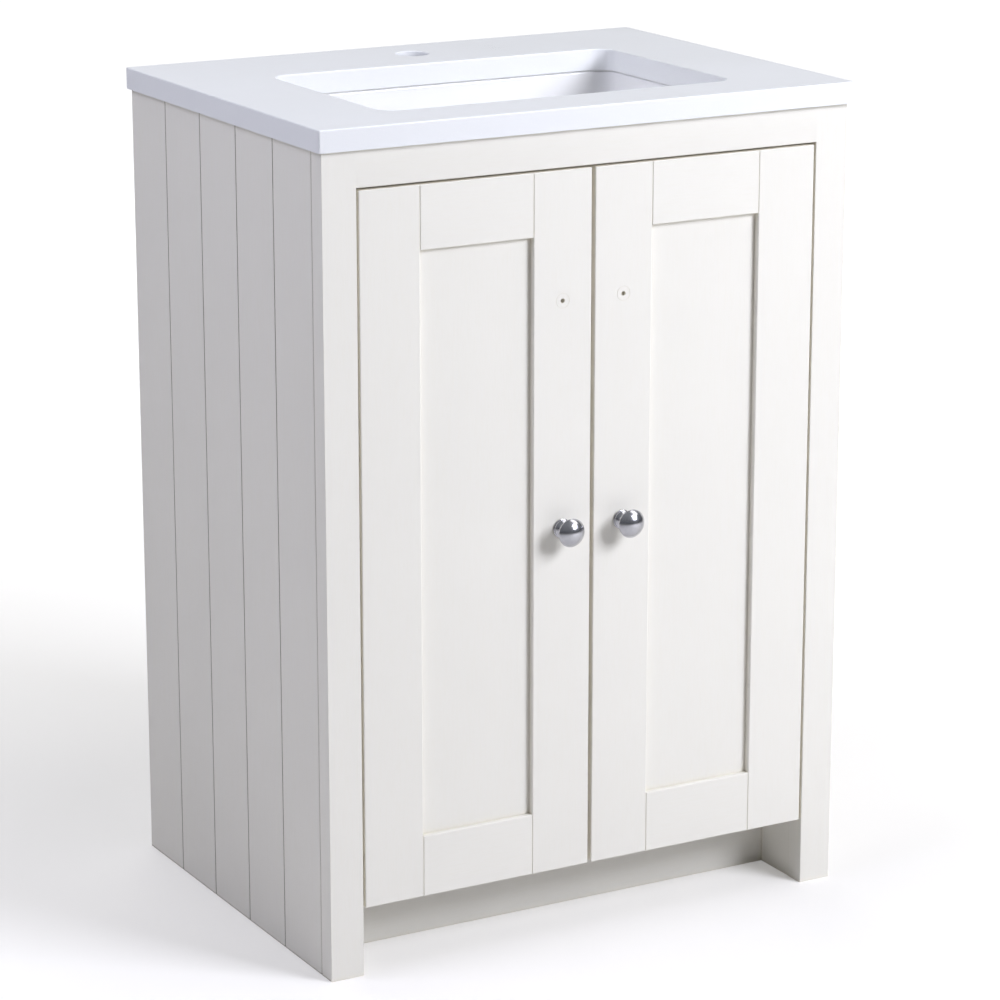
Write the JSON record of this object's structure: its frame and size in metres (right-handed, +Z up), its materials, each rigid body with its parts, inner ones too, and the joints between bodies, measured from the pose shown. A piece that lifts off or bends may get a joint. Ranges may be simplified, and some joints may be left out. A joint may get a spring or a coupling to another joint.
{
  "type": "bathroom vanity cabinet",
  "caption": "Floor-standing bathroom cupboard with inset shaker doors, grooved sides, round knobs, and a solid worktop with a tap hole over an undermounted rectangular basin.",
  "frame": {"origin": "on the floor, under the middle of the whole object's width and depth (knobs included)", "axes": "+Z up, +X to the right of someone facing the doors, +Y back towards the wall"},
  "size_m": [0.6, 0.464, 0.85],
  "materials": {
    "painted_frame": "satin ivory paint on board",
    "painted_side": "satin ivory paint on grooved board",
    "painted_door": "satin ivory paint on board",
    "carcass_board": "matt off-white faced board",
    "solid_surface": "fine satin white solid surface",
    "basin_ceramic": "gloss white glaze",
    "sealant": "semi-gloss silicone",
    "zinc_steel": "bright zinc plating",
    "hinge_steel": "nickel plating",
    "knob_chrome": "polished chrome",
    "catch_plastic": "moulded white plastic",
    "magnet_ferrite": "ground ferrite",
    "buffer_rubber": "clear soft plastic"
  },
  "bodies": {
    "cabinet": {"back_panel": "carcass_board", "back_rail_lower": "carcass_board", "back_rail_upper": "carcass_board", "base_panel": "carcass_board", "basin": "basin_ceramic", "basin_clip_screws": "zinc_steel", "basin_clips": "zinc_steel", "catch_housing": "catch_plastic", "catch_magnets": "magnet_ferrite", "catch_screws": "zinc_steel", "corner_bracket_screws": "zinc_steel", "corner_brackets": "zinc_steel", "frame_stile_left": "painted_frame", "frame_stile_right": "painted_frame", "frame_top_rail": "painted_frame", "front_stretcher": "carcass_board", "hinge_arm_screws": "hinge_steel", "hinge_arms_left": "hinge_steel", "hinge_arms_right": "hinge_steel", "hinge_batten_left": "carcass_board", "hinge_batten_right": "carcass_board", "hinge_plate_screws": "hinge_steel", "hinge_plates_left": "hinge_steel", "hinge_plates_right": "hinge_steel", "kickboard": "painted_frame", "plinth_return_left": "painted_frame", "plinth_return_right": "painted_frame", "sealant_bead": "sealant", "shelf": "carcass_board", "shelf_pins": "zinc_steel", "side_panel_left": "painted_side", "side_panel_right": "painted_side", "worktop": "solid_surface"},
    "left_door": {"left_bottom_rail": "painted_door", "left_door_buffers": "buffer_rubber", "left_door_panel": "painted_door", "left_hinge_cup_screws": "hinge_steel", "left_hinge_cups": "hinge_steel", "left_hinge_pins": "hinge_steel", "left_hinge_stile": "painted_door", "left_knob": "knob_chrome", "left_knob_screw": "hinge_steel", "left_meeting_stile": "painted_door", "left_strike_plate": "zinc_steel", "left_top_rail": "painted_door"},
    "right_door": {"right_bottom_rail": "painted_door", "right_door_buffers": "buffer_rubber", "right_door_panel": "painted_door", "right_hinge_cup_screws": "hinge_steel", "right_hinge_cups": "hinge_steel", "right_hinge_pins": "hinge_steel", "right_hinge_stile": "painted_door", "right_knob": "knob_chrome", "right_knob_screw": "hinge_steel", "right_meeting_stile": "painted_door", "right_strike_plate": "zinc_steel", "right_top_rail": "painted_door"}
  },
  "joints": [
    {"name": "left_door_hinge", "type": "hinge", "parent": "cabinet", "child": "left_door", "pos_m": [-0.2401, -0.1955, 0.4298], "axis": [0, 0, -1], "range_deg": [0, 95]},
    {"name": "right_door_hinge", "type": "hinge", "parent": "cabinet", "child": "right_door", "pos_m": [0.2401, -0.1955, 0.4298], "axis": [0, 0, 1], "range_deg": [0, 95]}
  ]
}
